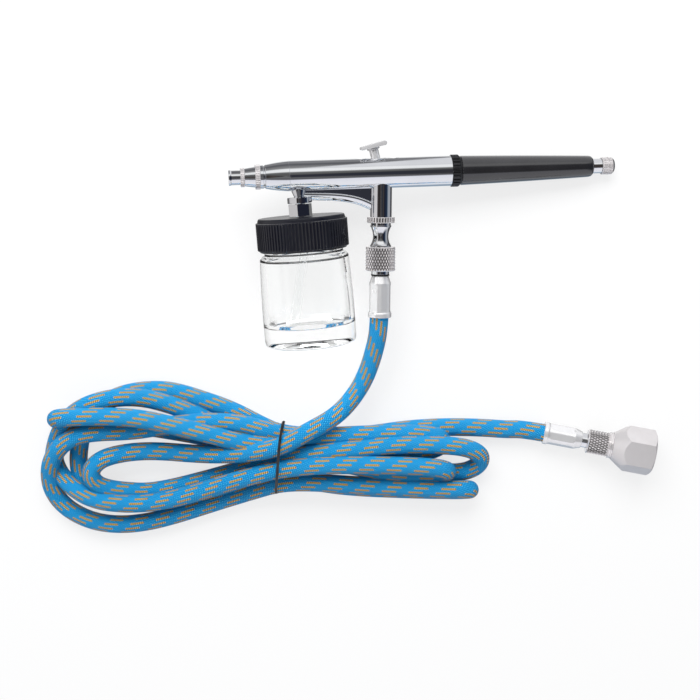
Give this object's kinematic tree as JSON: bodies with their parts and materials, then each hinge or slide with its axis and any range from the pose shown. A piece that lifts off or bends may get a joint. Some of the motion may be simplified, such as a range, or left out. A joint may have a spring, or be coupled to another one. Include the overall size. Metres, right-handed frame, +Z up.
{
  "type": "airbrush gun",
  "caption": "Dual-action siphon-feed airbrush with finger trigger, glass jar under a ribbed lid, tapered handle and a tied hank of braided air hose with a threaded swivel nut.",
  "frame": {"origin": "centre of the gun's footprint on the table it lies on, hose left out", "axes": "+X along the gun from nozzle to tail, +Y towards the trigger's side, +Z up from the table"},
  "size_m": [0.257, 0.1633, 0.0369],
  "materials": {
    "chrome": "polished",
    "chrome_trim": "polished",
    "nickel_knurl": "satin knurled",
    "nickel_satin": "satin bead-blasted nickel",
    "steel": "ground",
    "brass": "turned",
    "black_anodised": "black anodised",
    "handle_black": "satin-gloss moulded",
    "lid_black": "moulded, satin",
    "glass": "clear",
    "ptfe": "smooth",
    "rubber": "smooth",
    "pvc_clear": "clear tube",
    "braid_blue": "woven braid with gold flecks",
    "tie_black": "smooth"
  },
  "bodies": {
    "gun": {"head": "chrome", "head_seal": "ptfe", "barrel_body": "chrome", "fluid_nozzle": "brass", "nozzle_cap": "chrome_trim", "needle_cap": "chrome_trim", "needle_packing": "ptfe", "packing_screw": "brass", "spring_guide": "brass", "handle_ring": "black_anodised", "handle": "handle_black", "tail_bush": "chrome_trim", "valve_casing": "chrome_trim", "valve_screw": "brass", "hose_nipple": "chrome_trim", "hose_seal": "rubber", "hose_ferrule": "chrome_trim", "hose_lead": "braid_blue", "hose_hank": "braid_blue", "hose_tail": "braid_blue", "hose_tie": "tie_black", "far_ferrule": "chrome_trim", "far_nipple": "chrome_trim", "far_washer": "rubber", "needle_spring": "steel", "valve_spring": "steel"},
    "plunger": {"valve_plunger": "brass", "valve_seal": "rubber"},
    "trigger": {"trigger": "chrome_trim"},
    "lever": {"back_lever": "chrome_trim"},
    "needle": {"needle": "steel", "needle_chuck": "brass", "chuck_nut": "chrome_trim"},
    "stop_rod": {"stop_rod": "steel"},
    "tail_knob": {"tail_knob": "chrome_trim"},
    "hose_nut": {"hose_nut": "nickel_knurl"},
    "siphon": {"siphon_stem": "chrome_trim", "siphon_nut": "chrome_trim", "dip_tube": "pvc_clear", "jar_lid": "lid_black"},
    "jar_seal": {"lid_gasket": "ptfe"},
    "jar": {"jar": "glass"},
    "far_sleeve": {"far_sleeve": "nickel_knurl"},
    "far_nut": {"far_nut": "nickel_satin"}
  },
  "joints": [
    {"name": "trigger_press", "type": "slide", "parent": "gun", "child": "plunger", "axis": [-0.0071, -0.9998, 0.016], "range_m": [0, 0.0018], "stiffness_N_per_m": 900, "springref_m": -0.0012, "deforming": ["valve_spring"]},
    {"name": "trigger_pull", "type": "hinge", "parent": "plunger", "child": "trigger", "pos_m": [-0.01701, 0.02428, 0.01426], "axis": [-0.114, -0.0151, -0.9934], "range_deg": [0, 30]},
    {"name": "lever_swing", "type": "hinge", "parent": "gun", "child": "lever", "pos_m": [-0.01393, 0.02437, 0.0139], "axis": [-0.114, -0.0151, -0.9934], "range_deg": [0, 30]},
    {"name": "needle_slide", "type": "slide", "parent": "gun", "child": "needle", "axis": [0.993, 0.0295, -0.1144], "range_m": [0, 0.0022], "stiffness_N_per_m": 150, "springref_m": -0.004, "deforming": ["needle_spring"]},
    {"name": "knob_turn", "type": "hinge", "parent": "stop_rod", "child": "tail_knob", "pos_m": [0.0716, 0.03031, 0.004], "axis": [0.993, 0.0295, -0.1144], "range_deg": [0, 2160]},
    {"name": "knob_travel", "type": "slide", "parent": "gun", "child": "stop_rod", "axis": [0.993, 0.0295, -0.1144], "range_m": [0, 0.003]},
    {"name": "hose_nut_turn", "type": "hinge", "parent": "gun", "child": "hose_nut", "pos_m": [-0.01719, -0.00128, 0.01466], "axis": [-0.0071, -0.9998, 0.016], "continuous": true},
    {"name": "siphon_swivel", "type": "hinge", "parent": "gun", "child": "siphon", "pos_m": [-0.04906, 0.01608, 0.01806], "axis": [0.0743, -0.9972, 0.0067], "continuous": true},
    {"name": "jar_turn", "type": "hinge", "parent": "jar_seal", "child": "jar", "pos_m": [-0.04489, -0.03981, 0.01843], "axis": [0.0743, -0.9972, 0.0067], "range_deg": [0, 900]},
    {"name": "jar_travel", "type": "slide", "parent": "siphon", "child": "jar_seal", "axis": [0.0743, -0.9972, 0.0067], "range_m": [0, 0.0075]},
    {"name": "far_sleeve_turn", "type": "hinge", "parent": "gun", "child": "far_sleeve", "pos_m": [0.0713, -0.08332, 0.00679], "axis": [0.9802, -0.1658, 0.1081], "continuous": true},
    {"name": "far_nut_turn", "type": "hinge", "parent": "gun", "child": "far_nut", "pos_m": [0.09091, -0.08663, 0.00895], "axis": [0.9802, -0.1658, 0.1081], "continuous": true}
  ],
  "couplings": [
    {"joint": "trigger_pull", "follows": "needle_slide", "rad_per_m": 237.88},
    {"joint": "lever_swing", "follows": "needle_slide", "rad_per_m": 237.88},
    {"joint": "knob_turn", "follows": "knob_travel", "rad_per_m": 12560},
    {"joint": "jar_turn", "follows": "jar_travel", "rad_per_m": 2093.3}
  ]
}
